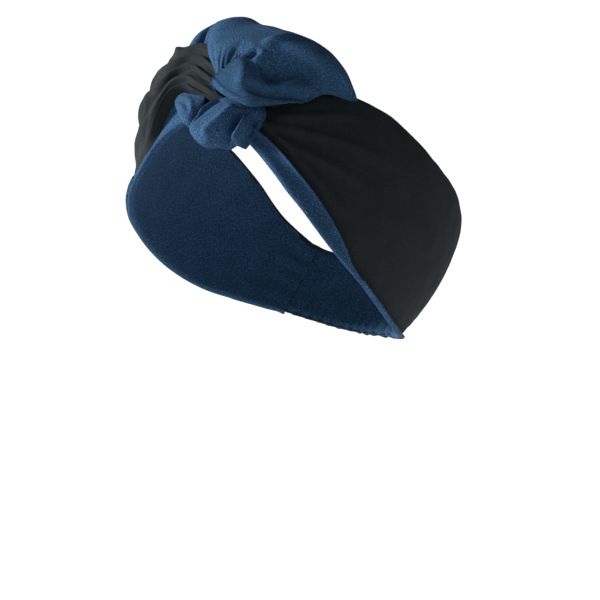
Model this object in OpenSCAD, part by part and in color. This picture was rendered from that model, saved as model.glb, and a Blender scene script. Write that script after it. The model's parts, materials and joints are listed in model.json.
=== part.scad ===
// Knotted headband: two double-faced cloth strips, black outside and blue inside,
// hooked through each other in a half knot at the top front. The ends of the strips
// are gathered onto a ruched casing that holds an elastic at the nape.
// The origin is the middle of the head inside the band. +Z is up, the face looks
// along -Y, and the wearer's left is +X.
// Every cloth surface is laid on one rounded head form. A place on it is a pair of
// angles in the leaning plane of the ring: the turn from the middle of the knot
// towards the wearer's left, and the rise from the ring's plane towards the crown.

/* [Head form] */
// Half width of the head inside the band
head_half_w = 76; // [72:1:80]
// Half length of the head form, from the chin side to the back of the crown
head_half_d = 100; // [96:1:104]
// Half height of the head form
head_half_h = 82; // [79:1:85]
// Rise of the head form's long direction towards the back
head_lean = 25; // [20:1:30]
// Lean of the ring from level, front up
ring_tilt = 45; // [40:1:50]

/* [Cloth] */
// Thickness of each cloth layer
cloth_t = 0.9; // [0.6:0.1:1]
// Ease between the head and the inner layer
head_ease = 0.6; // [0.3:0.1:1]
// Clearance between two layers that lie on each other
layer_gap = 0.3; // [0.2:0.05:0.4]

/* [Knot] */
// Height of the upper loop's crown above the head
upper_loop_h = 23; // [15:1:25]
// Height of the lower loop's crown above the head
lower_loop_h = 16; // [10:1:18]
// Height of the gathered black strand above the head
strand_h = 22; // [12:1:24]
// Height of the tucked end at the far side of the knot
tuck_h = 10; // [6:1:12]
// Height of the fold behind the upper loop
rear_fold_h = 24; // [15:1:26]

/* [Nape] */
// Number of gathers round the ruched casing
gathers = 12; // [8:1:14]
// Depth of the gathers
gather_depth = 1.6; // [0.5:0.1:2]
// Thickness of the elastic
elastic_t = 1.4; // [1:0.1:1.6]
// Turn at which the straps end and the casing begins
casing_turn = 151; // [148:1:154]

/* [Stitches] */
// Thickness of the sewing thread
thread_t = 0.5; // [0.3:0.1:0.6]
// Length of one stitch
stitch_l = 2.4; // [1.5:0.1:3]

/* [Hidden] */

black_cloth = [0.12, 0.13, 0.15];
blue_cloth = [0.16, 0.32, 0.48];
elastic_white = [0.9, 0.9, 0.88];
thread_black = [0.05, 0.05, 0.06];

// Heights above the head of the layers of a strap, from the inside out
lining_h = head_ease;
shell_h = lining_h + cloth_t + layer_gap;
turned_h = shell_h + cloth_t + layer_gap;

// Left strap, at each turn: the turn, then the rise of its face edge, of its crown edge,
// and the width of lining that is rolled out over the face edge, all in degrees
left_strap = [
  [20.5, -11, -3, 5], [28, -15.3, 8, 6.5], [34, -18.5, 13.5, 7], [40, -21, 19, 6.9],
  [46, -23.5, 25, 6.5], [53, -26, 26.8, 5.6], [60, -27.8, 26.5, 3.8], [73, -29.8, 25.5, 1], [85, -31, 25, 0.8],
  [100, -31, 25.5, 0.8], [118, -28.5, 23, 0.8], [135, -23.5, 17, 0.8], [150.5, -19, 13, 0.8]
];
// Right strap: it widens out from under the gathered strand
right_strap = [
  [25, -18, -9.5, 4], [31, -21, -8.5, 5], [38, -24, -7.5, 5.5], [46, -26.8, -5, 5],
  [52, -28.3, -1, 4.5], [58, -29, 18, 4], [64, -29.4, 25, 3], [73, -29.8, 25.5, 1],
  [85, -31, 25, 0.8], [100, -31, 25.5, 0.8], [118, -28.5, 23, 0.8], [135, -23.5, 17, 0.8],
  [150.5, -19, 13, 0.8]
];
// Casing at the nape: the turn, the rise of its lower edge and of its upper edge
casing = [[151, -19, 13], [165, -17.5, 13.5], [180, -17, 14], [195, -17.5, 13.5], [209, -19, 13]];

// Outlines of the pieces of the knot, each point a turn and a rise
upper_loop_edge = [
  [-3, 4], [4, 0], [13, -0.5], [21, 4], [29, 11.5], [36, 17], [40, 20.5], [38, 23], [31, 26.5],
  [21, 31.5], [8, 36], [-8, 39], [-20, 39.5], [-27.5, 34], [-27, 25], [-17, 14]
];
lower_loop_edge = [
  [-3.5, -5], [-4, -8.5], [-0.5, -12], [4, -14.5], [10, -15], [15, -13], [18.7, -10.5],
  [19, -6.5], [16.5, -2.8], [10, -2], [3, -1.5]
];
side_tuck_edge = [[-21, 3], [-15, -2], [-10, -6.5], [-6, -8], [-5.5, -3], [-6, 2], [-13, 4]];
strand_edge = [
  [-22.5, 1.5], [-21, 6], [-22, 11], [-27, 17.5], [-30.5, 25], [-36, 26], [-46, 24.5], [-53, 18],
  [-53.5, 9], [-48, 0.5], [-38, -4], [-28, -5]
];
rear_fold_edge = [[-29.5, 28], [-30, 34], [-24.5, 41], [-28, 42.5], [-34, 39], [-37, 32], [-34, 28]];

// A place on the head form, at a height above it
function bearing(turn, rise) =
  let (f = cos(rise) * cos(turn), n = sin(rise))
  [cos(rise) * sin(turn), n * sin(ring_tilt) - f * cos(ring_tilt),
   f * sin(ring_tilt) + n * cos(ring_tilt)];
function head_reach(d) =
  let (
    along = d.y * cos(head_lean) + d.z * sin(head_lean),
    across = d.z * cos(head_lean) - d.y * sin(head_lean)
  )
  1 / norm([d.x / head_half_w, along / head_half_d, across / head_half_h]);
function place(turn, rise, h) =
  let (d = bearing(turn, rise)) d * (head_reach(d) + h);

// Smooth run through a list of stations; column k against the turn in column 0
function station(s, x, i = 0) =
  (i >= len(s) - 2 || x < s[i + 1][0]) ? i : station(s, x, i + 1);
function lean(s, k, i) =
  let (a = max(i - 1, 0), b = min(i + 1, len(s) - 1)) (s[b][k] - s[a][k]) / (s[b][0] - s[a][0]);
function run(s, k, x) =
  let (
    i = station(s, x), a = s[i], b = s[i + 1], w = b[0] - a[0], t = (x - a[0]) / w,
    t2 = t * t, t3 = t2 * t
  )
  (2 * t3 - 3 * t2 + 1) * a[k] + (t3 - 2 * t2 + t) * w * lean(s, k, i)
  + (3 * t2 - 2 * t3) * b[k] + (t3 - t2) * w * lean(s, k, i + 1);

// Smooth closed outline through its points, at t from 0 to the number of points
function outline(p, t) =
  let (
    n = len(p), i = floor(t) % n, u = t - floor(t),
    a = p[(i + n - 1) % n], b = p[i], c = p[(i + 1) % n], d = p[(i + 2) % n]
  )
  0.5 * (2 * b + u * (c - a) + u * u * (2 * a - 5 * b + 4 * c - d)
  + u * u * u * (3 * b - a - 3 * c + d));

function flat(rows) = [for (row = rows) each row];

// Closed cloth solid between two grids of points of the same size
module cloth(near, far) {
  rows = len(near);
  cols = len(near[0]);
  half = rows * cols;
  function at(side, i, j) = side * half + i * cols + j;
  function tile(a, b, c, d) = [[a, c, b], [a, d, c]];
  polyhedron(
    points = concat(flat(near), flat(far)),
    faces = concat(
      flat([for (i = [0:rows - 2], j = [0:cols - 2])
        tile(at(0, i, j), at(0, i, j + 1), at(0, i + 1, j + 1), at(0, i + 1, j))]),
      flat([for (i = [0:rows - 2], j = [0:cols - 2])
        tile(at(1, i, j), at(1, i + 1, j), at(1, i + 1, j + 1), at(1, i, j + 1))]),
      flat([for (i = [0:rows - 2])
        tile(at(0, i, 0), at(0, i + 1, 0), at(1, i + 1, 0), at(1, i, 0))]),
      flat([for (i = [0:rows - 2])
        tile(at(0, i + 1, cols - 1), at(0, i, cols - 1), at(1, i, cols - 1), at(1, i + 1, cols - 1))]),
      flat([for (j = [0:cols - 2])
        tile(at(0, 0, j + 1), at(0, 0, j), at(1, 0, j), at(1, 0, j + 1))]),
      flat([for (j = [0:cols - 2])
        tile(at(0, rows - 1, j), at(0, rows - 1, j + 1), at(1, rows - 1, j + 1), at(1, rows - 1, j))])
    )
  );
}

// Closed rounded solid inside an outline, from one height up to a crown
module puff(edge, low, crown, around = 36, rings = 6) {
  rim = low + (crown - low) * 0.25;
  mid = [for (k = [0, 1]) [for (p = edge) p[k]] * [for (p = edge) 1] / len(edge)];
  function spot(k, m, h) =
    let (e = outline(edge, m * len(edge) / around), q = mid + (e - mid) * sin(90 * k / rings))
    place(q[0], q[1], h);
  function high(k) = rim + (crown - rim) * cos(90 * k / rings);
  function deep(k) = low + (rim - low) * pow(k / rings, 6);
  bands = concat(
    [for (k = [1:rings]) [for (m = [0:around - 1]) spot(k, m, high(k))]],
    [for (k = [rings - 1:-1:1]) [for (m = [0:around - 1]) spot(k, m, deep(k))]]
  );
  count = len(bands);
  function at(b, m) = 1 + b * around + (m % around);
  foot = 1 + count * around;
  polyhedron(
    points = concat([place(mid[0], mid[1], crown)], flat(bands), [place(mid[0], mid[1], low)]),
    faces = concat(
      [for (m = [0:around - 1]) [0, at(0, m + 1), at(0, m)]],
      flat([for (b = [0:count - 2], m = [0:around - 1])
        [[at(b, m), at(b + 1, m + 1), at(b + 1, m)], [at(b, m), at(b, m + 1), at(b + 1, m + 1)]]]),
      [for (m = [0:around - 1]) [foot, at(count - 1, m), at(count - 1, m + 1)]]
    )
  );
}

// One layer of a strap between its two edges
module strap_layer(s, side, from, to, low, inset = 0, steps = 24, across = 8) {
  function grid(h) = [for (i = [0:steps]) let (x = from + (to - from) * i / steps)
    [for (j = [0:across])
      let (a = run(s, 1, x) + inset, b = run(s, 2, x))
      place(side * x, a + (b - a) * j / across, h)]];
  if (side > 0) cloth(grid(low), grid(low + cloth_t));
  else cloth(grid(low + cloth_t), grid(low));
}

// Lining of a strap, which rolls round the shell's face edge and lies on top of it
module strap_lining_layer(s, side, from, to, steps = 24, across = 8, turned = 3) {
  edge_inset = 0.3;
  function back(h) = [for (i = [0:steps]) let (x = from + (to - from) * i / steps)
    concat(
      [for (j = [0:across])
        let (a = run(s, 1, x), b = run(s, 2, x)) place(side * x, b + (a - b) * j / across, h[0])],
      [place(side * x, run(s, 1, x) - h[3], h[1])],
      [for (j = [0:turned])
        place(side * x, run(s, 1, x) + run(s, 3, x) * j / turned, h[2])]
    )];
  skin = [lining_h, (lining_h + turned_h + cloth_t) / 2, turned_h + cloth_t, 1];
  inner = [lining_h + cloth_t, (lining_h + turned_h + cloth_t) / 2, turned_h, edge_inset];
  if (side > 0) cloth(back(inner), back(skin));
  else cloth(back(skin), back(inner));
}

// One layer of the casing at the nape; ripple is the depth of its gathers
module casing_layer(low, thick, from, to, narrow = 0, ripple = 0, steps = 60, across = 6) {
  function lift(x) = ripple * (1 - cos(360 * gathers * (x - from) / (to - from))) / 2;
  function grid(h) = [for (i = [0:steps]) let (x = from + (to - from) * i / steps)
    [for (j = [0:across])
      let (a = run(casing, 1, x) + narrow, b = run(casing, 2, x) - narrow)
      place(x, a + (b - a) * j / across, h + lift(x))]];
  cloth(grid(low), grid(low + thick));
}

// One stitch that lies on the head form at a height; spin 0 runs round the band, 90 across it
module stitch(turn, rise, h, spin) {
  rotate([-ring_tilt, 0, 0]) rotate([0, 0, turn]) rotate([-rise, 0, 0])
    translate([0, -head_reach(bearing(turn, rise)) - h, 0]) rotate([0, spin, 0])
      cube([stitch_l, thread_t, thread_t], center = true);
}

// The two straps
seam_clearance = 0.5;
strap_end = casing_turn - seam_clearance;

module left_strap_shell() {
  color(black_cloth) strap_layer(left_strap, 1, left_strap[0][0], strap_end, shell_h);
}
module left_strap_lining() {
  color(blue_cloth) strap_lining_layer(left_strap, 1, left_strap[0][0], strap_end);
}
module right_strap_shell() {
  color(black_cloth) strap_layer(right_strap, -1, right_strap[0][0], strap_end, shell_h);
}
module right_strap_lining() {
  color(blue_cloth) strap_lining_layer(right_strap, -1, right_strap[0][0], strap_end);
}

// The knot: each gathered piece is a crowned outer layer over a thin backing layer
module knot_backing(edge, around = 36) {
  puff(edge, lining_h, lining_h + cloth_t, around, 4);
}
module crossing_strand() {
  color(black_cloth) puff(strand_edge, shell_h, strand_h, 42);
}
module crossing_strand_backing() {
  color(blue_cloth) knot_backing(strand_edge);
}
module upper_loop() {
  color(blue_cloth) puff(upper_loop_edge, shell_h, upper_loop_h, 48, 7);
}
module upper_loop_backing() {
  color(black_cloth) knot_backing(upper_loop_edge);
}
module lower_loop() {
  color(blue_cloth) puff(lower_loop_edge, shell_h, lower_loop_h);
}
module lower_loop_backing() {
  color(black_cloth) knot_backing(lower_loop_edge);
}
module side_tuck() {
  color(blue_cloth) puff(side_tuck_edge, lining_h, tuck_h, 28, 5);
}
module rear_fold() {
  color(blue_cloth) puff(rear_fold_edge, lining_h, rear_fold_h, 28, 5);
}
// Short bars of thread on the head side, across the gap between the two loops
module knot_tack_stitches() {
  color(thread_black) for (turn = [-1, 5, 11]) stitch(turn, -1, 0, 90);
}

// The nape: elastic between the two layers of the ruched casing
elastic_inset = 2.5;
elastic_h = shell_h;
casing_h = elastic_h + elastic_t + layer_gap;
module nape_casing_lining() {
  color(blue_cloth) casing_layer(lining_h, cloth_t, casing_turn, 360 - casing_turn);
}
module nape_elastic() {
  color(elastic_white)
    casing_layer(elastic_h, elastic_t, casing_turn + 1, 359 - casing_turn, elastic_inset, 0, 30);
}
module nape_casing_shell() {
  color(black_cloth)
    casing_layer(casing_h, cloth_t, casing_turn, 360 - casing_turn, 0, gather_depth);
}
// Bars of thread beside the ends of the elastic that hold it in the casing
module elastic_tacks() {
  color(thread_black)
    for (turn = [casing_turn + 0.4, 359.6 - casing_turn], rise = [-14:6:10])
      stitch(turn, rise, elastic_h + elastic_t / 2, 90);
}

// Rows of stitches along the seams between the straps and the casing
seam_rises = [-17:3.5:11];
seam_h = shell_h + cloth_t + layer_gap + thread_t / 2;
module casing_seam(side) {
  color(thread_black) for (rise = seam_rises) stitch(side * (strap_end - 1.5), rise, seam_h, 90);
}
module left_casing_seam() casing_seam(1);
module right_casing_seam() casing_seam(-1);
// Hand stitches that close the turning gap in the crown edge of the left strap
module turning_gap_stitches() {
  edge_clearance = 0.7;
  color(thread_black) for (turn = [112:3:130])
    stitch(turn, run(left_strap, 2, turn) + edge_clearance, shell_h, 0);
}

left_strap_shell();
left_strap_lining();
right_strap_shell();
right_strap_lining();
crossing_strand();
crossing_strand_backing();
upper_loop();
upper_loop_backing();
lower_loop();
lower_loop_backing();
side_tuck();
rear_fold();
knot_tack_stitches();
nape_casing_shell();
nape_casing_lining();
nape_elastic();
elastic_tacks();
left_casing_seam();
right_casing_seam();
turning_gap_stitches();
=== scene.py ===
"""Knotted headband: the cloth, the stitches, the elastic and the studio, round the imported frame."""

import json
import math

import bmesh
import bpy
import numpy as np
from mathutils import Matrix, Vector, noise

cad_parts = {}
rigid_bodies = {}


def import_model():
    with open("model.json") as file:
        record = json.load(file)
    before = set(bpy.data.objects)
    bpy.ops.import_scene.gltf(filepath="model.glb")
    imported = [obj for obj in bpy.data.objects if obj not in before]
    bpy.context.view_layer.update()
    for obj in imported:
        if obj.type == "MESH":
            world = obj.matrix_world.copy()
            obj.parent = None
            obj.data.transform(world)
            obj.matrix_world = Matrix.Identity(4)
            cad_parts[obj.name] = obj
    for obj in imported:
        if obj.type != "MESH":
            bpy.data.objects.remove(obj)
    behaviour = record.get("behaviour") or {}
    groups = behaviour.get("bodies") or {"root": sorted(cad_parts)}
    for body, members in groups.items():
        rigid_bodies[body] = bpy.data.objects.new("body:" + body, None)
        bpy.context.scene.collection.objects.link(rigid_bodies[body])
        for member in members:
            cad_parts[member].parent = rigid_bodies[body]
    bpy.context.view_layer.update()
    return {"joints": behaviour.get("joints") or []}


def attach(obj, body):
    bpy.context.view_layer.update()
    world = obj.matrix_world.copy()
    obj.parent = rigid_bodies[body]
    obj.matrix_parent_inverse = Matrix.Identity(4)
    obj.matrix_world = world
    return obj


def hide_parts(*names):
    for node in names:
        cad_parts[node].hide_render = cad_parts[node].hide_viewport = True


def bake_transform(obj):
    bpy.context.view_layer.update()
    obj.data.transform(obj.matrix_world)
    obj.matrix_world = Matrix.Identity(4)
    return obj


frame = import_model()

# ---------------------------------------------------------------------------
# Left strap, outer layer
# A strip of black woven cotton, 84 mm wide at the side of the head. It is sewn
# to the blue lining along both edges, turned right side out and pressed, so its
# crown edge is a fold. Near the knot it is gathered into a few long soft folds.
# ---------------------------------------------------------------------------

MM = 0.001
CLOTH = 0.9 * MM
EASE = 0.6 * MM
GAP = 0.3 * MM
SHELL_HEIGHT = EASE + CLOTH + GAP
DEGREE = 1.75 * MM

HEAD_HALF_WIDTH = 76 * MM
HEAD_HALF_LENGTH = 100 * MM
HEAD_HALF_HEIGHT = 82 * MM
HEAD_LEAN = math.radians(25)
RING_TILT = math.radians(45)


def on_head(turn, rise, height):
    """Points at a turn and a rise in degrees, at a height above the head form."""
    turn, rise = np.radians(turn), np.radians(rise)
    front = np.cos(rise) * np.cos(turn)
    up = np.sin(rise)
    x = np.cos(rise) * np.sin(turn)
    y = up * math.sin(RING_TILT) - front * math.cos(RING_TILT)
    z = front * math.sin(RING_TILT) + up * math.cos(RING_TILT)
    along = y * math.cos(HEAD_LEAN) + z * math.sin(HEAD_LEAN)
    across = z * math.cos(HEAD_LEAN) - y * math.sin(HEAD_LEAN)
    shape = (x / HEAD_HALF_WIDTH) ** 2 + (along / HEAD_HALF_LENGTH) ** 2 + (across / HEAD_HALF_HEIGHT) ** 2
    out = 1 / np.sqrt(shape) + height
    return np.stack([x * out, y * out, z * out], axis=-1)


def smooth(low, high, x):
    """0 below low, 1 above high, and an easy rise between them."""
    t = np.clip((x - low) / (high - low), 0, 1)
    return t * t * (3 - 2 * t)


def run(stations, column, at):
    """Smooth run of one column of stations, against their first column."""
    s = np.array(stations, float)
    x, y = s[:, 0], s[:, column]
    slope = np.gradient(y, x)
    i = np.clip(np.searchsorted(x, at) - 1, 0, len(x) - 2)
    w = x[i + 1] - x[i]
    t = np.clip((at - x[i]) / w, 0, 1)
    return (
        (2 * t**3 - 3 * t**2 + 1) * y[i]
        + (t**3 - 2 * t**2 + t) * w * slope[i]
        + (3 * t**2 - 2 * t**3) * y[i + 1]
        + (t**3 - t**2) * w * slope[i + 1]
    )


def curve(points, count=28, closed=False):
    """Smooth curve through points, as evenly stepped samples."""
    p = np.array(points, float)
    n = len(p)
    t = np.linspace(0, n if closed else n - 1, count, endpoint=not closed)
    i = np.floor(t).astype(int) if closed else np.clip(np.floor(t).astype(int), 0, n - 2)
    u = (t - i)[:, None]
    pick = (lambda k: p[k % n]) if closed else (lambda k: p[np.clip(k, 0, n - 1)])
    a, b, c, d = pick(i - 1), pick(i), pick(i + 1), pick(i + 2)
    return 0.5 * (
        2 * b + u * (c - a) + u**2 * (2 * a - 5 * b + 4 * c - d) + u**3 * (3 * b - a - 3 * c + d)
    )


def beside(turn, rise, line):
    """Distance to a line of places in metres, plus on its right, and the share of the line passed."""
    c = curve(line)
    shrink = math.cos(math.radians(float(np.mean(c[:, 1]))))
    x = (turn[:, None] - c[None, :, 0]) * shrink * DEGREE
    y = (rise[:, None] - c[None, :, 1]) * DEGREE
    step = np.gradient(c, axis=0) * [shrink, 1]
    step /= np.linalg.norm(step, axis=1)[:, None]
    near = np.argmin(x**2 + y**2, axis=1)
    pick = np.arange(len(turn))
    dx, dy = x[pick, near], y[pick, near]
    tx, ty = step[near, 0], step[near, 1]
    side = dx * ty - dy * tx
    past = dx * tx + dy * ty
    away = np.hypot(side, past)
    share = (near + np.clip(past / (np.linalg.norm(c[1] - c[0]) * DEGREE), -1, 1)) / (len(c) - 1)
    return np.where(side < 0, -away, away), np.clip(share, 0, 1)


def ends(share, start, stop):
    """Fades in over the first part of a line and out over its last part."""
    return smooth(0, max(start, 1e-4), share) * (1 - smooth(1 - max(stop, 1e-4), 1, share))


def crease(place, line, width, depth, start=0.3, stop=0.3):
    """A soft ridge along a line of places, or a valley if depth is less than zero."""
    turn, rise, height = place
    away, share = beside(turn, rise, line)
    weight = np.exp(-((away / width) ** 2)) * ends(share, start, stop)
    return turn, rise, height + depth * weight


LAP_WIDTH = 3 * MM
LAP_EDGE = 0.15 * MM


def lap(place, line, lift, drop, overhang, reach, start=0.02, stop=0.3):
    """Cloth on the right of a line is lifted over the cloth on its left, which drops under it.
    The grid is first crowded towards the line, so that the step there is crisp."""
    turn, rise, height = place
    c = np.array(line, float)
    across = np.array([c[-1][1] - c[0][1], c[0][0] - c[-1][0]])
    across /= np.linalg.norm(across)
    away, share = beside(turn, rise, line)
    crowd = 0.8 * away * np.exp(-((away / LAP_WIDTH) ** 2)) * ends(share, start, stop) / DEGREE
    turn, rise = turn - across[0] * crowd, rise - across[1] * crowd
    away, share = beside(turn, rise, line)
    fade = ends(share, start, stop)
    step = smooth(-LAP_EDGE, LAP_EDGE, away)
    over = lift * step * np.exp(-np.maximum(away, 0) / reach)
    under = drop * (1 - step) * np.exp(np.minimum(away, 0) / reach)
    pull = step * np.exp(-((away / LAP_WIDTH) ** 2)) * fade * overhang / DEGREE
    return turn - across[0] * pull, rise - across[1] * pull, height + (over - under) * fade


SWELL_WIDTH = 9 * MM


def rumple(points, depth, seed):
    """Small uneven swells of cloth that has been handled."""
    return depth * np.array([noise.noise(Vector(p) / SWELL_WIDTH + Vector((seed, 0, 0))) for p in points])


def cloth(name, along, across, lay, thickness=CLOTH, swell=0.25 * MM, seed=1.0, levels=1):
    """A sheet of cloth from a grid. lay gives its places from two shares, along it and across it."""
    bm = bmesh.new()
    bmesh.ops.create_grid(bm, x_segments=along, y_segments=across, size=0.5)
    spots = np.array([v.co[:2] for v in bm.verts]) + 0.5
    place = lay(spots[:, 0], spots[:, 1])
    points = on_head(*place)
    points = on_head(place[0], place[1], place[2] + rumple(points, swell, seed))
    for vert, point in zip(bm.verts, points):
        vert.co = point
    column = np.rint(spots[:, 0] * along).astype(int)
    row = np.rint(spots[:, 1] * across).astype(int)
    net = np.zeros((along + 1, across + 1, 3))
    net[column, row] = points
    lengths = np.zeros((along + 1, across + 1, 2))
    lengths[1:, :, 0] = np.cumsum(np.linalg.norm(np.diff(net, axis=0), axis=2), axis=0)
    lengths[:, 1:, 1] = np.cumsum(np.linalg.norm(np.diff(net, axis=1), axis=2), axis=1)
    lengths[:, :, 0] -= lengths[along // 2, :, 0]
    lengths[:, :, 1] -= lengths[:, across // 2, 1][:, None]
    threads = bm.loops.layers.uv.new("threads")
    for face in bm.faces:
        face.smooth = True
        for loop in face.loops:
            k = loop.vert.index
            loop[threads].uv = lengths[column[k], row[k]]
    mesh = bpy.data.meshes.new(name)
    bm.to_mesh(mesh)
    bm.free()
    piece = bpy.data.objects.new(name, mesh)
    bpy.context.scene.collection.objects.link(piece)
    wall = piece.modifiers.new("Thickness", "SOLIDIFY")
    wall.thickness = thickness
    wall.offset = -1
    wall.use_quality_normals = True
    round_off = piece.modifiers.new("Soft edges", "SUBSURF")
    round_off.levels = levels
    round_off.render_levels = levels
    return piece


THREAD_PITCH = 0.55 * MM


def woven(name, face_thread, cross_thread, fleck, fleck_share, roughness):
    """Plain weave: two sets of threads over and under each other, with slubs, flecks and wear."""
    material = bpy.data.materials.new(name)
    material.use_nodes = True
    nodes, links = material.node_tree.nodes, material.node_tree.links
    shader = nodes["Principled BSDF"]
    shader.inputs["Specular IOR Level"].default_value = 0.12
    threads = nodes.new("ShaderNodeUVMap")
    threads.uv_map = "threads"

    def mapped(scale):
        node = nodes.new("ShaderNodeMapping")
        node.inputs["Scale"].default_value = scale
        links.new(threads.outputs["UV"], node.inputs["Vector"])
        return node.outputs["Vector"]

    def speckle(scale, detail, rough=0.6):
        node = nodes.new("ShaderNodeTexNoise")
        node.inputs["Scale"].default_value = 1.0
        node.inputs["Detail"].default_value = detail
        node.inputs["Roughness"].default_value = rough
        links.new(mapped(scale), node.inputs["Vector"])
        return node.outputs["Fac"]

    def maths(operation, a, b):
        node = nodes.new("ShaderNodeMath")
        node.operation = operation
        for socket, value in zip(node.inputs, (a, b)):
            if isinstance(value, (int, float)):
                socket.default_value = value
            else:
                links.new(value, socket)
        return node.outputs["Value"]

    def bands(direction, pitch):
        node = nodes.new("ShaderNodeTexWave")
        node.bands_direction = direction
        node.inputs["Scale"].default_value = 1.0
        node.inputs["Distortion"].default_value = 0.35
        node.inputs["Detail"].default_value = 1.0
        links.new(mapped((math.pi / 10 / pitch,) * 3), node.inputs["Vector"])
        return node.outputs["Fac"]

    def ramp(value, low, high, first, last):
        node = nodes.new("ShaderNodeMapRange")
        node.inputs["From Min"].default_value = low
        node.inputs["From Max"].default_value = high
        node.inputs["To Min"].default_value = first
        node.inputs["To Max"].default_value = last
        links.new(value, node.inputs["Value"])
        return node.outputs["Result"]

    def blended(share, first, last):
        node = nodes.new("ShaderNodeMix")
        node.data_type = "RGBA"
        links.new(share, node.inputs["Factor"])
        for socket, value in ((node.inputs["A"], first), (node.inputs["B"], last)):
            if isinstance(value, tuple):
                socket.default_value = (*value, 1)
            else:
                links.new(value, socket)
        return node.outputs["Result"]

    warp = bands("X", THREAD_PITCH)
    weft = bands("Y", THREAD_PITCH)
    weave = maths("MULTIPLY", warp, weft)
    slub_along = speckle((800, 3600, 1), 2.0)
    slub_across = speckle((3600, 800, 1), 2.0)
    slubs = maths("MULTIPLY", maths("ADD", slub_along, slub_across), 0.5)
    worn = speckle((60, 60, 1), 4.0)
    over = maths("ADD", ramp(weave, 0.1, 0.8, 0, 0.55), ramp(slubs, 0.42, 0.62, 0, 0.45))
    base = blended(over, cross_thread, face_thread)
    flecked = blended(ramp(slubs, 0.5, 0.66, 0, fleck_share), base, fleck)
    shade = nodes.new("ShaderNodeHueSaturation")
    links.new(flecked, shade.inputs["Color"])
    links.new(ramp(worn, 0.3, 0.7, 0.82, 1.16), shade.inputs["Value"])
    links.new(shade.outputs["Color"], shader.inputs["Base Color"])
    links.new(ramp(worn, 0.3, 0.7, roughness - 0.06, roughness + 0.06), shader.inputs["Roughness"])
    grain = maths("ADD", maths("MULTIPLY", weave, 0.6), maths("MULTIPLY", slubs, 0.7))
    bump = nodes.new("ShaderNodeBump")
    bump.inputs["Strength"].default_value = 0.55
    bump.inputs["Distance"].default_value = 0.25 * MM
    links.new(grain, bump.inputs["Height"])
    links.new(bump.outputs["Normal"], shader.inputs["Normal"])
    return material


black_cotton = woven(
    "black woven cotton",
    face_thread=(0.023, 0.030, 0.032),
    cross_thread=(0.012, 0.016, 0.018),
    fleck=(0.040, 0.047, 0.051),
    fleck_share=0.35,
    roughness=0.9,
)

# Turn, rise of the face edge, rise of the crown edge, and the width of the lining
# that is rolled out over the face edge, in degrees
LEFT_STRAP = [
    (10, -4.5, 9, 2.5), (14, -7.8, 14, 4.2), (20.5, -11.3, 19.5, 5.6), (28, -15.3, 23.5, 6.6),
    (34, -18.5, 24.6, 7), (40, -21, 25.2, 6.9), (46, -23.5, 26, 6.5), (53, -26, 26.8, 5.6),
    (60, -27.8, 26.5, 3.8), (66, -28.9, 26, 1.8), (73, -29.8, 25.5, 0.9),
    (85, -31, 25, 0.8), (100, -31, 25.5, 0.8), (118, -28.5, 23, 0.8), (135, -23.5, 17, 0.8),
    (150.5, -19, 13, 0.8),
]
LEFT_START, LEFT_END = LEFT_STRAP[0][0], LEFT_STRAP[-1][0]
# How far a strip runs on before its first station, and how far the gathers of the
# casing run into it, in degrees
RUN_ON = 3
GATHER_RUN = 22
# Each fold's line goes through turns and rises
SOFT_FOLDS = [
    [(16, -2), (30, 1), (46, 6), (66, 10)],
    [(16, -4), (32, -5), (50, -4), (70, -2)],
    [(20, 2), (30, 8), (40, 15), (54, 19)],
    [(22, -5), (34, -9), (50, -14), (66, -16)],
]


def nape_gathers(turn, share, end):
    """Small pleats where the strap is drawn in to the casing at the nape."""
    wave = np.sin(2 * np.pi * (7.5 * share + 0.4 * np.sin(5 * share)))
    return 0.9 * MM * wave * smooth(end - GATHER_RUN, end, np.abs(turn))


def lay_left_shell(u, v):
    turn = LEFT_START - RUN_ON + (LEFT_END + RUN_ON - LEFT_START) * u
    low = run(LEFT_STRAP, 1, turn) + 0.4
    high = run(LEFT_STRAP, 2, turn) + 0.5
    v = v + 0.02 * np.sin(2 * np.pi * v)
    rise = low + (high - low) * v
    tucked = smooth(0.93, 1.0, v)
    height = SHELL_HEIGHT + CLOTH - 1.6 * MM * tucked**2
    stand = 1.6 * MM * smooth(0.5, 0.93, v) * smooth(30, 50, turn) * (1 - smooth(70, 110, turn))
    height = height + stand * (1 - tucked) + nape_gathers(turn, v, LEFT_END) * (1 - tucked)
    flat = (turn, rise, height)
    place = flat
    for line in SOFT_FOLDS:
        place = crease(place, line, 3.2 * MM, 1.5 * MM, 0.05, 0.7)
    covered = 1 - smooth(0, 2.5, rise - low - run(LEFT_STRAP, 3, turn))
    return turn, rise, place[2] + (flat[2] - 0.7 * MM - place[2]) * covered


left_shell = cloth("left_strap_outer", 190, 64, lay_left_shell, seed=2.0, swell=0.35 * MM)
left_shell.data.materials.append(black_cotton)
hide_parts("left_strap_shell")

# The knot is on one body and the rest of the left strap on the other: the cloth
# between them is baked in place and attached to neither body.
HINGE = [joint for joint in frame["joints"] if joint["name"] == "band_stretch"][0]


def bends_with_left_strap(piece):
    """Cloth that crosses from the knot to the left strap. Its place is baked into its mesh, and it is
    attached to neither body.
    """
    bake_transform(piece)


bends_with_left_strap(left_shell)

# ---------------------------------------------------------------------------
# Left strap, lining
# A strip of blue chambray. It lies against the head, rolls round the face edge of
# the black layer and shows there as a turned band, wide beside the knot and
# tapering to a thin edge at the temple.
# ---------------------------------------------------------------------------

blue_chambray = woven(
    "blue chambray",
    face_thread=(0.024, 0.086, 0.190),
    cross_thread=(0.006, 0.027, 0.070),
    fleck=(0.130, 0.250, 0.380),
    fleck_share=0.7,
    roughness=0.9,
)

TURNED_HEIGHT = SHELL_HEIGHT + CLOTH + GAP
ROLL = 1.0


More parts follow.
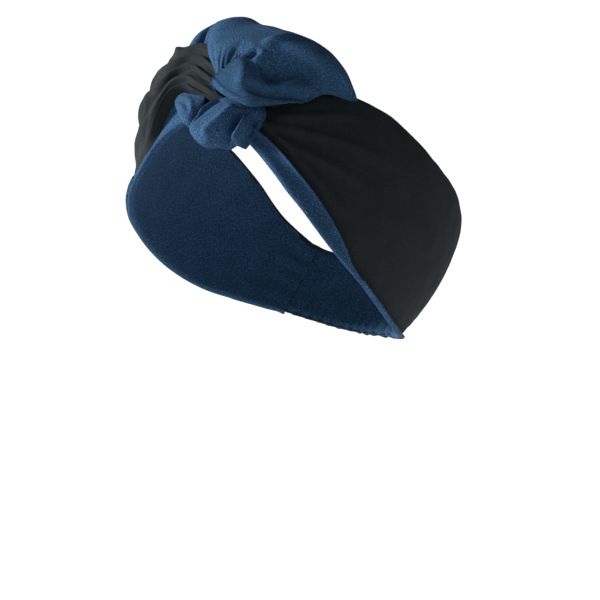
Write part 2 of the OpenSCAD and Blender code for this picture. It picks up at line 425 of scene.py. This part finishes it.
def rolled_lining(stations, turn, v):
    """Rises and heights of a lining from its crown edge, against the head, round the face edge and
    out on top, and the share of the part on top that is passed."""
    low = run(stations, 1, turn)
    high = run(stations, 2, turn)
    wide = np.maximum(run(stations, 3, turn), 0.7)
    inner_share, roll_share = 0.56, 0.14
    back = np.clip(v / inner_share, 0, 1)
    round_it = np.clip((v - inner_share) / roll_share, 0, 1)
    out = np.clip((v - inner_share - roll_share) / (1 - inner_share - roll_share), 0, 1)
    rise = high + (low + ROLL - high) * back
    swing = np.pi * round_it
    full = TURNED_HEIGHT + CLOTH + 0.5 * MM
    rise = np.where(v > inner_share, low + ROLL - ROLL * 1.5 * np.sin(swing), rise)
    rise = np.where(out > 0, low + ROLL + (wide - ROLL) * out, rise)
    height = np.full_like(turn, EASE)
    height = np.where(v > inner_share, EASE + (full - EASE) * (1 - np.cos(swing)) / 2, height)
    hollow = -0.6 * MM * np.sin(np.pi * np.clip(out, 0, 1)) ** 2 * smooth(2, 5, wide)
    lip = 0.9 * MM * np.exp(-(((out - 0.9) / 0.09) ** 2)) * smooth(2, 5, wide)
    edge = -1.9 * MM * smooth(0.93, 1.0, out)
    height = np.where(out > 0, full + hollow + lip + edge, height)
    return rise, height, out


def lay_left_lining(u, v):
    turn = LEFT_START - RUN_ON + (LEFT_END + RUN_ON - LEFT_START) * u
    rise, height = rolled_lining(LEFT_STRAP, turn, v)[:2]
    height = height + nape_gathers(turn, v, LEFT_END) * 0.4
    return turn, rise, height


left_lining = cloth("left_strap_inner", 190, 64, lay_left_lining, seed=5.0, swell=0.2 * MM)
left_lining.data.materials.append(blue_chambray)
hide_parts("left_strap_lining")
bends_with_left_strap(left_lining)

# ---------------------------------------------------------------------------
# Right strap, outer layer, and the strand that crosses into the knot
# The same black strip on the other side. Towards the knot it is drawn together
# into a thick bunch of long pleats, which goes under the upper loop.
# ---------------------------------------------------------------------------

# Turn, rise of the face edge, rise of the crown edge, height of the bunch and depth
# of its pleats in mm
RIGHT_STRAP = [
    (-150.5, -19, 13, 0, 0), (-135, -23.5, 17, 0, 0), (-118, -28.5, 23, 0, 0),
    (-100, -31, 25.5, 0, 0), (-85, -31, 25, 0.5, 0), (-73, -30.2, 25.5, 2, 0.3),
    (-64, -29.6, 26, 5, 0.7), (-56, -28.8, 26, 9, 1.0), (-48, -27.4, 26, 13.5, 1.3),
    (-40, -25.4, 25.5, 16.5, 1.4), (-33, -22.5, 25.5, 17.5, 1.4), (-27, -18.5, 26, 17.5, 1.4),
    (-22, -11, 26, 16.5, 1.3), (-19, -3, 25, 15, 1.2), (-15, 1.5, 23, 13, 1.0),
    (-9, 1, 19.5, 11, 0.8), (-2, -0.5, 16, 8, 0.6), (5, -1, 12, 5, 0.4),
]
BROAD_PLEATS = 4.6
FINE_PLEATS = 9.5
# Each pleat's line, its width and its height in mm
STRAND_LINES = [
    ([(-46, 2), (-38, 7), (-30, 8), (-23, 5)], 2.2, -2.4),
    ([(-44, -4), (-36, -1), (-28, 1), (-21.5, 0)], 2.0, -2.0),
    ([(-40, 14), (-33, 15), (-26, 11)], 1.8, -1.8),
    ([(-35, -8), (-30, -3), (-27, 3)], 1.6, 1.4),
    ([(-38, 20), (-31, 19), (-25, 15)], 2.0, 1.6),
    ([(-33, -14), (-28, -9), (-24, -4)], 1.7, -1.5),
]


def lay_right_shell(u, v):
    first, last = RIGHT_STRAP[0][0], RIGHT_STRAP[-1][0]
    turn = first - RUN_ON + (last + RUN_ON - first) * u
    low, high, lift, pleat = (run(RIGHT_STRAP, k, turn) for k in (1, 2, 3, 4))
    rise = low + (high - low) * v
    arch = smooth(-25.5, 12, rise) * (1 - smooth(0.84, 1.0, v))
    drift = 0.05 * np.sin(turn * 0.21) + 0.04 * np.sin(turn * 0.5 + 2)
    wave = np.cos(2 * np.pi * (BROAD_PLEATS * v + drift + 0.35 * np.sin(3 * v + turn * 0.06)))
    second = np.cos(2 * np.pi * (FINE_PLEATS * v - 2 * drift + 0.1))
    pleats = (np.sign(wave) * np.abs(wave) ** 0.8 + 0.35 * second) * pleat * MM
    tucked = smooth(0.94, 1.0, v) + (1 - smooth(0, 0.03, v)) * 0.6
    height = SHELL_HEIGHT + CLOTH + lift * MM * arch + pleats * np.sqrt(np.clip(arch, 0, 1))
    height = height - 1.4 * MM * tucked + nape_gathers(turn, v, -first) * (1 - np.clip(tucked, 0, 1))
    rolled = (1 - smooth(0, 0.09, v)) * smooth(-32, -22, turn)
    height = height + (4.5 * MM - height) * rolled
    place = (turn, rise, height)
    for line, width, depth in STRAND_LINES:
        place = crease(place, line, width * MM, depth * MM, 0.35, 0.35)
    return place


right_shell = cloth("right_strap_outer", 300, 150, lay_right_shell, seed=9.0, swell=0.45 * MM, levels=0)
right_shell.data.materials.append(black_cotton)
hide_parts("right_strap_shell", "crossing_strand")
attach(right_shell, HINGE["parent"])

# ---------------------------------------------------------------------------
# Right strap, lining
# The same blue strip on the other side. Beside the knot the gathers pull the face
# edge open, and a three-cornered piece of the lining shows under the strand. It goes
# on under the knot, where it meets the left lining and is tacked to it.
# ---------------------------------------------------------------------------

# Turn, rise of the face edge, rise of the crown edge, width rolled out
RIGHT_LINING = [
    (-150.5, -19.4, 13, 0.8), (-135, -23.9, 17, 0.8), (-118, -28.9, 23, 0.8),
    (-100, -31.4, 25.5, 0.8), (-85, -31.4, 25, 0.8), (-73, -30.6, 25.5, 0.8),
    (-56, -29.2, 25.5, 0.8), (-40, -25.9, 24, 0.8), (-31, -22.5, 22, 1.2),
    (-26, -18.8, 20, 2.5), (-22, -14, 18, 6.5), (-19, -11, 17, 10.5), (-16, -8.6, 16, 12.5),
    (-12, -6.5, 15, 11), (-6, -6, 14, 7), (0, -6.5, 13, 3), (8, -7, 12.5, 2),
]


def lay_right_lining(u, v):
    first, last = RIGHT_LINING[0][0], RIGHT_LINING[-1][0]
    turn = first - RUN_ON + (last + RUN_ON - first) * u
    rise, height, out = rolled_lining(RIGHT_LINING, turn, v)
    raised = smooth(-27, -18, turn) * 3.5 * MM * out
    under_knot = 0.5 * MM * smooth(0, 6, turn)
    return turn, rise, height + raised - under_knot + nape_gathers(turn, v, -first) * 0.4


right_lining = cloth("right_strap_inner", 190, 64, lay_right_lining, seed=12.0, swell=0.2 * MM)
right_lining.data.materials.append(blue_chambray)
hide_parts("right_strap_lining", "crossing_strand_backing")
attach(right_lining, HINGE["parent"])

# ---------------------------------------------------------------------------
# Upper loop of the knot
# The left strip turns blue side out, bellies up over the strand and folds back on
# itself. Its front flap laps over the gathered part behind, which leaves a dimple
# where the lap closes, and its lower edge is a fold that stands over the strap.
# ---------------------------------------------------------------------------


CURL = 0.3
TUCKED_IN = 0.34


def belly(u, v, edge, middle, crown, low):
    """Cloth that bellies up inside an edge and curls under it all round.
    Each place of the edge is a turn, a rise, a height and a share of roundness."""
    x, y = 2 * u - 1, 2 * v - 1
    dx = x * np.sqrt(1 - y * y / 2)
    dy = y * np.sqrt(1 - x * x / 2)
    out = np.hypot(dx, dy) * (1 + CURL)
    loop = curve(edge, 240, closed=True)
    angles = np.arctan2(loop[:, 1] - middle[1], loop[:, 0] - middle[0])
    angle = np.arctan2(dy, dx)
    turn, rise, rim, soft = (np.interp(angle, angles, loop[:, k], period=2 * np.pi) for k in range(4))
    inside = np.clip(out, 0, 1)
    under = np.clip((out - 1) / CURL, 0, 1)
    soft = np.clip(soft, 0, 1)
    reach = inside - TUCKED_IN * np.where(soft > 0.5, 1 - np.cos(under * np.pi / 2), under)
    rise_share = (1 - inside ** (1.8 + 2.4 * soft)) ** (1 - 0.45 * soft)
    height = rim + (crown - rim) * rise_share
    fall = (1 - soft) * under + soft * np.sin(under * np.pi / 2)
    height = height - (rim - low) * fall
    return (
        middle[0] + (turn - middle[0]) * reach,
        middle[1] + (rise - middle[1]) * reach,
        height * MM,
    )


# Turn, rise, height in mm and roundness, here and for the other bellied pieces
UPPER_EDGE = [
    (40, 22, 3.6, 0.3), (37, 25.5, 4.5, 0.7), (30, 29, 7, 0.9), (20, 32.5, 8, 0.9), (7, 35.5, 7, 0.9),
    (-8, 38, 7, 0.9), (-18, 37.5, 9, 1), (-23, 33, 12, 1), (-22, 26, 13, 1), (-16, 18.5, 13, 1),
    (-9, 12.5, 12.5, 1), (-3.5, 7.5, 12, 0.8), (-1, 3, 13, 0.2), (5, 0.4, 13, 0),
    (10.5, -0.6, 12.6, 0), (14.5, -0.2, 11.8, 0), (20.4, 4.5, 10, 0), (25.5, 10.8, 8, 0),
    (31.5, 18.5, 5.4, 0.1),
]
# Short pleats of the gathered cloth beside the lap
UPPER_GATHERS = [
    [(-1.2, 7.3), (-2.1, 10.4), (-2.8, 13.5), (-3.8, 17.6)],
    [(-2.5, 8), (-4.8, 11.3), (-8.2, 15.5), (-10.8, 18.9)],
    [(0.4, 7.7), (0.4, 11.9), (1, 14.8), (1.8, 18)],
    [(-3.6, 8.6), (-8.5, 12.3), (-13, 17.5)],
    [(-0.4, 7.5), (-0.8, 11), (-1, 15)],
]


def lay_upper_loop(u, v):
    turn, rise, height = belly(u, v, UPPER_EDGE, (1, 20), 22.5, 2)
    height = height - 4.0 * MM * smooth(-18, -4, turn) * (1 - smooth(5, 26, turn)) * smooth(15, 27, rise)
    height = height - 2.0 * MM * smooth(8, 24, turn) * smooth(12, 28, rise)
    height = height + 2.0 * MM * (1 - smooth(-17, -4, turn)) * smooth(14, 26, rise)
    place = (turn, rise, height)
    for line in UPPER_GATHERS:
        place = crease(place, line, 0.8 * MM, -1.0 * MM, 0.02, 0.7)
    place = crease(place, [(0, 10), (7, 12), (14, 11), (20, 12)], 8 * MM, -2.5 * MM, 0.3, 0.4)
    place = crease(place, [(11, 10), (15, 13), (20, 16), (28, 19)], 5.0 * MM, -5.5 * MM, 0.25, 0.5)
    place = crease(place, [(8, 17.5), (10, 21), (13, 25), (18, 28)], 2.8 * MM, 2.4 * MM, 0.3, 0.5)
    place = crease(place, [(6.8, 12), (7.6, 9), (9, 5.5), (11, 3)], 3.6 * MM, 2.0 * MM, 0.4, 0.3)
    place = crease(place, [(8.2, 12.4), (9.6, 14.5), (9.4, 17)], 1.5 * MM, 1.5 * MM, 0.3, 0.3)
    place = crease(place, [(9, 5.5), (13, 4.6), (18, 6.5), (25, 11), (31, 16)], 2.4 * MM, -3.6 * MM, 0.3, 0.3)
    place = crease(place, [(0, 3.6), (5.3, 1.5), (10.6, 0.6), (16, 2.4)], 0.9 * MM, 0.9 * MM, 0.05, 0.4)
    place = lap(
        place, [(-1.2, 0.4), (0.6, 3), (1.9, 5.4), (3.4, 7.9), (5, 10.2), (6.6, 12), (8.6, 13.8)],
        1.6 * MM, 7.5 * MM, 2.8 * MM, 8 * MM,
    )
    return crease(place, [(3.4, 12), (5.8, 14.2), (8, 15.8)], 1.3 * MM, -5.0 * MM, 0.4, 0.25)


upper_loop = cloth("upper_loop_cloth", 226, 208, lay_upper_loop, seed=20.0, swell=0.5 * MM, levels=0)
upper_loop.data.materials.append(blue_chambray)
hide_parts("upper_loop", "upper_loop_backing")
bends_with_left_strap(upper_loop)

# ---------------------------------------------------------------------------
# Lower loop of the knot
# The lower half of the left strip, which turns blue side out too and is pulled
# down over the brow in two ridges with deep valleys between them.
# ---------------------------------------------------------------------------

LOWER_EDGE = [
    (17.5, -3, 3.6, 0.2), (16, 3, 3.5, 0.2), (11, 5.5, 4, 0.4), (5.5, 4.5, 5.5, 0.4),
    (1.6, 1.4, 8, 0.3), (-0.6, -2, 9.5, 0.2), (-2, -5, 9.5, 0.2), (-4, -8.4, 7, 0.7),
    (-3, -11.3, 6, 1), (0.8, -13.8, 6, 1), (5, -15, 6, 1), (8.4, -13.8, 5.5, 1), (12, -11.8, 4.5, 0.8),
    (16, -10.8, 3.6, 0.4),
]


def lay_lower_loop(u, v):
    place = belly(u, v, LOWER_EDGE, (7, -6), 12.5, 2)
    place = crease(place, [(9.5, -1), (7.8, -6.8), (4.4, -13)], 3.0 * MM, 3.0 * MM, 0.2, 0.2)
    place = crease(place, [(12.4, -2), (11.6, -6), (10.8, -10.4), (8.6, -16)], 1.6 * MM, -5.5 * MM, 0.3, 0.05)
    place = crease(place, [(12.9, -1.9), (13.7, -7), (13.2, -11.6)], 1.4 * MM, 2.2 * MM, 0.3, 0.2)
    place = crease(place, [(15, -0.3), (15.6, -6), (15.2, -12)], 1.3 * MM, -3.4 * MM, 0.3, 0.1)
    place = crease(place, [(3, 0.8), (1, -3), (-0.6, -6.5), (-1.8, -9)], 1.1 * MM, -3.6 * MM, 0.2, 0.4)
    return crease(place, [(1.2, 0.8), (-0.8, -3), (-2, -6.5)], 0.7 * MM, 1.4 * MM, 0.2, 0.4)


lower_loop = cloth("lower_loop_cloth", 96, 84, lay_lower_loop, seed=27.0, swell=0.5 * MM)
lower_loop.data.materials.append(blue_chambray)
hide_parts("lower_loop", "lower_loop_backing")
bends_with_left_strap(lower_loop)

# ---------------------------------------------------------------------------
# Side tuck
# The end of the turned edge, tucked in beside the lower loop: a small folded tab
# whose upper edge is a crisp fold.
# ---------------------------------------------------------------------------

TUCK_EDGE = [
    (-3.2, -3.5, 8, 0.6), (-4.2, 1, 9, 0.1), (-10.4, 1.8, 10, 0), (-17, 3.2, 10, 0), (-21, 4.3, 9.6, 0),
    (-22.8, 4, 9, 0), (-18.5, -0.6, 8, 0.3), (-12, -5.6, 6, 0.8), (-7, -8.8, 4.5, 1), (-3.8, -8.4, 4.5, 1),
]


def lay_side_tuck(u, v):
    place = belly(u, v, TUCK_EDGE, (-9, -2.5), 11, 2)
    place = crease(place, [(-16, 0), (-10, -2), (-5, -6)], 1.6 * MM, -1.0 * MM, 0.3, 0.3)
    return crease(place, [(-12, 0.4), (-7, -2), (-4.4, -6)], 1.4 * MM, 0.8 * MM, 0.3, 0.3)


side_tuck = cloth("side_tuck_cloth", 60, 44, lay_side_tuck, seed=31.0, swell=0.4 * MM)
side_tuck.data.materials.append(blue_chambray)
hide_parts("side_tuck")
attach(side_tuck, HINGE["parent"])

# ---------------------------------------------------------------------------
# Rear fold
# A second turn of the blue strip, which shows behind the upper loop's rounded end
# where it goes down to the crown.
# ---------------------------------------------------------------------------

REAR_EDGE = [
    (-12, 29, 11, 0.8), (-15, 37, 6, 1), (-25, 41, 3, 1), (-34, 38, 3, 1), (-38, 31, 8, 0.9),
    (-34, 23.5, 17.5, 0.4), (-28, 20.5, 19, 0.1), (-18, 22, 14, 0.4),
]


def lay_rear_fold(u, v):
    place = belly(u, v, REAR_EDGE, (-28.5, 29), 23, 3)
    return crease(place, [(-23, 18), (-24.5, 24), (-25.5, 30), (-25, 38)], 2.4 * MM, -6.5 * MM, 0.1, 0.3)


rear_fold = cloth("rear_fold_cloth", 56, 56, lay_rear_fold, seed=35.0, swell=0.5 * MM)
rear_fold.data.materials.append(blue_chambray)
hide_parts("rear_fold")
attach(rear_fold, HINGE["parent"])

# ---------------------------------------------------------------------------
# Nape casing, outer layer and lining
# A tube of the two cloths, sewn to both straps. It is longer than the elastic inside
# it, so it ruches into a dozen uneven gathers when the elastic draws it in.
# ---------------------------------------------------------------------------

# Turn, rise of the face edge and rise of the crown edge
CASING = [(151, -19, 13), (165, -17.5, 13.5), (180, -17, 14), (195, -17.5, 13.5), (209, -19, 13)]
CASING_START = 149.6
CASING_SPAN = 60.8
GATHERS = 13
CASING_HEIGHT = SHELL_HEIGHT + 2.0 * MM


def ruched(u, v, base, depth, turned_in):
    """Gathers run across the casing. They are sharp at its stitched edges and fuller in the middle."""
    turn = CASING_START + CASING_SPAN * u
    low = run(CASING, 1, turn)
    high = run(CASING, 2, turn)
    rise = low + (high - low) * v
    phase = GATHERS * u + 0.22 * np.sin(9 * u + 2) + 0.14 * np.sin(17 * u) + 0.1 * np.sin(6 * v + 7 * u)
    wave = 0.5 - 0.5 * np.cos(2 * np.pi * phase)
    small = 0.5 - 0.5 * np.cos(2 * np.pi * (2.3 * phase + 0.6 * v))
    fuller = 0.55 + 0.45 * np.sin(np.pi * v) ** 0.5
    ease_in = smooth(0, 0.04, u) * (1 - smooth(0.96, 1, u))
    edge = np.maximum(smooth(0.92, 1, v), 1 - smooth(0, 0.08, v))
    height = base + depth * (wave**1.3 * fuller + 0.22 * small) * ease_in * (1 - 0.8 * edge)
    wander = 0.5 * np.sin(2 * np.pi * phase) * (v - 0.5) * ease_in
    return turn + wander, rise, height - turned_in * edge


def bends_round_nape(piece):
    """The casing is sewn to the right strap at one end and to the left strap at the other. Its place is baked
    into its mesh, and it is attached to neither body.
    """
    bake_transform(piece)


def lay_casing_shell(u, v):
    return ruched(u, v, CASING_HEIGHT + CLOTH, 3.2 * MM, 2.6 * MM)


casing_shell = cloth("nape_casing_outer", 220, 44, lay_casing_shell, seed=41.0, swell=0.3 * MM)
casing_shell.data.materials.append(black_cotton)
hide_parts("nape_casing_shell")
bends_round_nape(casing_shell)


def lay_casing_lining(u, v):
    turn, rise, height = ruched(u, 1 - v, EASE, -0.9 * MM, -1.2 * MM)
    return turn, rise, height + 0.7 * MM


casing_lining = cloth("nape_casing_inner", 200, 40, lay_casing_lining, seed=44.0, swell=0.2 * MM)
casing_lining.data.materials.append(blue_chambray)
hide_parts("nape_casing_lining")
bends_round_nape(casing_lining)

# ---------------------------------------------------------------------------
# Elastic
# A flat knitted elastic inside the casing, in rows of rubber cords covered in
# white yarn. It holds the band on the head, and is tacked through at both ends.
# ---------------------------------------------------------------------------


ELASTIC_START = 152
ELASTIC_SPAN = 56
ELASTIC_INSET = 2.5
ELASTIC_CORDS = 14


def lay_elastic(u, v):
    turn = ELASTIC_START + ELASTIC_SPAN * u
    low = run(CASING, 1, turn) + ELASTIC_INSET
    high = run(CASING, 2, turn) - ELASTIC_INSET
    cords = 0.16 * MM * np.cos(2 * np.pi * ELASTIC_CORDS * v)
    return turn, low + (high - low) * v, SHELL_HEIGHT + 1.4 * MM + cords


elastic = cloth("nape_elastic_band", 120, 84, lay_elastic, thickness=1.2 * MM, swell=0.0, levels=0)
yarn = bpy.data.materials.new("knitted elastic yarn")
yarn.use_nodes = True
yarn_nodes, yarn_links = yarn.node_tree.nodes, yarn.node_tree.links
yarn_uv = yarn_nodes.new("ShaderNodeUVMap")
yarn_uv.uv_map = "threads"
yarn_rows = yarn_nodes.new("ShaderNodeTexWave")
yarn_rows.inputs["Scale"].default_value = 260
yarn_rows.inputs["Distortion"].default_value = 1.5
yarn_rows.inputs["Detail Scale"].default_value = 3
yarn_links.new(yarn_uv.outputs["UV"], yarn_rows.inputs["Vector"])
yarn_colour = yarn_nodes.new("ShaderNodeValToRGB")
yarn_colour.color_ramp.elements[0].color = (0.42, 0.41, 0.38, 1)
yarn_colour.color_ramp.elements[1].color = (0.74, 0.73, 0.69, 1)
yarn_links.new(yarn_rows.outputs["Fac"], yarn_colour.inputs["Fac"])
yarn_shader = yarn_nodes["Principled BSDF"]
yarn_shader.inputs["Roughness"].default_value = 0.8
yarn_links.new(yarn_colour.outputs["Color"], yarn_shader.inputs["Base Color"])
yarn_bump = yarn_nodes.new("ShaderNodeBump")
yarn_bump.inputs["Strength"].default_value = 0.5
yarn_bump.inputs["Distance"].default_value = 0.3 * MM
yarn_links.new(yarn_rows.outputs["Fac"], yarn_bump.inputs["Height"])
yarn_links.new(yarn_bump.outputs["Normal"], yarn_shader.inputs["Normal"])
elastic.data.materials.append(yarn)
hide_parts("nape_elastic")
bends_round_nape(elastic)

# ---------------------------------------------------------------------------
# Stitches
# Black sewing thread: a row down each end of the casing, a hand-sewn row along the
# turning gap in the left strap, bars that hold the elastic, and tacks under the
# knot. Each stitch is a short bowed length of twisted thread.
# ---------------------------------------------------------------------------

THREAD = 0.5 * MM
STITCH = 2.4 * MM

thread = bpy.data.materials.new("twisted black thread")
thread.use_nodes = True
thread_nodes, thread_links = thread.node_tree.nodes, thread.node_tree.links
thread_place = thread_nodes.new("ShaderNodeTexCoord")
thread_twist = thread_nodes.new("ShaderNodeTexWave")
thread_twist.bands_direction = "DIAGONAL"
thread_twist.inputs["Scale"].default_value = 900
thread_links.new(thread_place.outputs["Object"], thread_twist.inputs["Vector"])
thread_colour = thread_nodes.new("ShaderNodeValToRGB")
thread_colour.color_ramp.elements[0].color = (0.006, 0.006, 0.008, 1)
thread_colour.color_ramp.elements[1].color = (0.030, 0.030, 0.036, 1)
thread_links.new(thread_twist.outputs["Fac"], thread_colour.inputs["Fac"])
thread_shader = thread_nodes["Principled BSDF"]
thread_shader.inputs["Roughness"].default_value = 0.55
thread_links.new(thread_colour.outputs["Color"], thread_shader.inputs["Base Color"])
thread_bump = thread_nodes.new("ShaderNodeBump")
thread_bump.inputs["Distance"].default_value = 0.1 * MM
thread_links.new(thread_twist.outputs["Fac"], thread_bump.inputs["Height"])
thread_links.new(thread_bump.outputs["Normal"], thread_shader.inputs["Normal"])


def stitches(name, spots, heading, node, body):
    """A row of stitches. Each spot is a turn, a rise and a height; heading 0 runs round the band."""
    bm = bmesh.new()
    for turn, rise, height in spots:
        at, beyond, above = (
            Vector(on_head(np.array(turn + a), np.array(rise + b), height))
            for a, b in ((0, 0), (1, 0), (0, 1))
        )
        east = (beyond - at).normalized()
        north = (above - at).normalized()
        out = east.cross(north).normalized()
        length_way = east * math.cos(heading) + north * math.sin(heading)
        side_way = out.cross(length_way)
        turned = Matrix((length_way, side_way, out)).transposed().to_4x4()
        made = bmesh.ops.create_uvsphere(bm, u_segments=8, v_segments=8, radius=0.5)["verts"]
        bmesh.ops.rotate(bm, verts=made, matrix=Matrix.Rotation(math.pi / 2, 3, "Y"))
        for vert in made:
            share = vert.co.x * 2
            vert.co.x = STITCH / 2 * math.sin(share * math.pi / 2)
            vert.co.y *= THREAD
            vert.co.z = vert.co.z * THREAD - 0.35 * MM * share**2
        bmesh.ops.transform(bm, verts=made, matrix=Matrix.Translation(at) @ turned)
    for face in bm.faces:
        face.smooth = True
    mesh = bpy.data.meshes.new(name)
    bm.to_mesh(mesh)
    bm.free()
    piece = bpy.data.objects.new(name, mesh)
    bpy.context.scene.collection.objects.link(piece)
    mesh.materials.append(thread)
    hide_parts(node)
    if body:
        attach(piece, body)
    return piece


SEAM_TURN = 149
SEAM_RISES = np.arange(-17, 11.1, 3.5)
SEAM_HEIGHT = SHELL_HEIGHT + CLOTH + 0.9 * MM
UPRIGHT = math.pi / 2
stitches(
    "left_seam_stitches", [(SEAM_TURN, r, SEAM_HEIGHT) for r in SEAM_RISES], UPRIGHT,
    "left_casing_seam", HINGE["child"],
)
stitches(
    "right_seam_stitches", [(-SEAM_TURN, r, SEAM_HEIGHT) for r in SEAM_RISES], UPRIGHT,
    "right_casing_seam", HINGE["parent"],
)
gap_turns = np.arange(112, 131, 3)
gap_rises = run(LEFT_STRAP, 2, gap_turns) + 0.1
gap_height = SHELL_HEIGHT - 0.5 * MM
stitches(
    "turning_gap_hand_stitches", [(t, r, gap_height) for t, r in zip(gap_turns, gap_rises)], 0.35,
    "turning_gap_stitches", HINGE["child"],
)
tack_rises = np.arange(-14, 10.1, 6)
elastic_tacks = stitches(
    "elastic_end_tacks",
    [(t, r, SHELL_HEIGHT + 1.6 * MM) for t in (152.4, 207.6) for r in tack_rises], UPRIGHT,
    "elastic_tacks", None,
)
bends_round_nape(elastic_tacks)
stitches(
    "knot_tacks", [(t, -1, 0.2 * MM) for t in (-1, 5, 11)], UPRIGHT, "knot_tack_stitches",
    HINGE["parent"],
)

# ---------------------------------------------------------------------------
# Studio
# A pale paper floor well below the band, a white backdrop that only the camera sees,
# a low key light from the left, a weak wide fill, and the camera.
# ---------------------------------------------------------------------------

FLOOR_DROP = 0.21
floor_bm = bmesh.new()
bmesh.ops.create_grid(floor_bm, x_segments=8, y_segments=8, size=30)
bmesh.ops.translate(floor_bm, verts=floor_bm.verts, vec=(0, 0, -FLOOR_DROP))
floor_mesh = bpy.data.meshes.new("studio_floor")
floor_bm.to_mesh(floor_mesh)
floor_bm.free()
floor = bpy.data.objects.new("studio_floor", floor_mesh)
bpy.context.scene.collection.objects.link(floor)
paper = bpy.data.materials.new("pale paper")
paper.use_nodes = True
paper_shader = paper.node_tree.nodes["Principled BSDF"]
paper_shader.inputs["Base Color"].default_value = (0.86, 0.86, 0.86, 1)
paper_shader.inputs["Roughness"].default_value = 0.95
paper_shader.inputs["Emission Color"].default_value = (1, 1, 1, 1)
paper_shader.inputs["Emission Strength"].default_value = 0.35
floor_mesh.materials.append(paper)

world = bpy.data.worlds.new("studio")
bpy.context.scene.world = world
world.use_nodes = True
world_nodes, world_links = world.node_tree.nodes, world.node_tree.links
backdrop = world_nodes["Background"]
backdrop.inputs["Color"].default_value = (1, 1, 1, 1)
ambience = world_nodes.new("ShaderNodeBackground")
ambience.inputs["Color"].default_value = (0.93, 0.96, 1, 1)
ambience.inputs["Strength"].default_value = 0.17
rays = world_nodes.new("ShaderNodeLightPath")
chosen = world_nodes.new("ShaderNodeMixShader")
world_links.new(rays.outputs["Is Camera Ray"], chosen.inputs["Fac"])
world_links.new(ambience.outputs["Background"], chosen.inputs[1])
world_links.new(backdrop.outputs["Background"], chosen.inputs[2])
world_links.new(chosen.outputs["Shader"], world_nodes["World Output"].inputs["Surface"])


def distant_light(name, place, softness, strength):
    """A light far away, in the direction of a place. Softness is how wide it looks, in degrees."""
    light = bpy.data.lights.new(name, "SUN")
    light.angle = math.radians(softness)
    light.energy = strength
    lamp = bpy.data.objects.new(name, light)
    lamp.rotation_euler = (-Vector(place)).to_track_quat("-Z", "Y").to_euler()
    bpy.context.scene.collection.objects.link(lamp)


distant_light("key", (-0.84, -0.56, 0.33), 12, 6.4)
distant_light("fill", (-0.1, -0.9, 0.3), 60, 0.35)

CAMERA_TURN = math.radians(38)
CAMERA_RISE = math.radians(17)
CAMERA_DISTANCE = 0.75
CAMERA_AIM = Vector((0, 0, -0.048))
camera_data = bpy.data.cameras.new("camera")
camera_data.sensor_width = 36
camera_data.lens = 85.56
camera_data.clip_start = 0.01
camera = bpy.data.objects.new("camera", camera_data)
camera.location = CAMERA_AIM + CAMERA_DISTANCE * Vector((
    math.sin(CAMERA_TURN) * math.cos(CAMERA_RISE),
    -math.cos(CAMERA_TURN) * math.cos(CAMERA_RISE),
    math.sin(CAMERA_RISE),
))
camera.rotation_euler = (CAMERA_AIM - camera.location).to_track_quat("-Z", "Y").to_euler()
bpy.context.scene.collection.objects.link(camera)
bpy.context.scene.camera = camera
bpy.context.scene.view_settings.view_transform = "Standard"
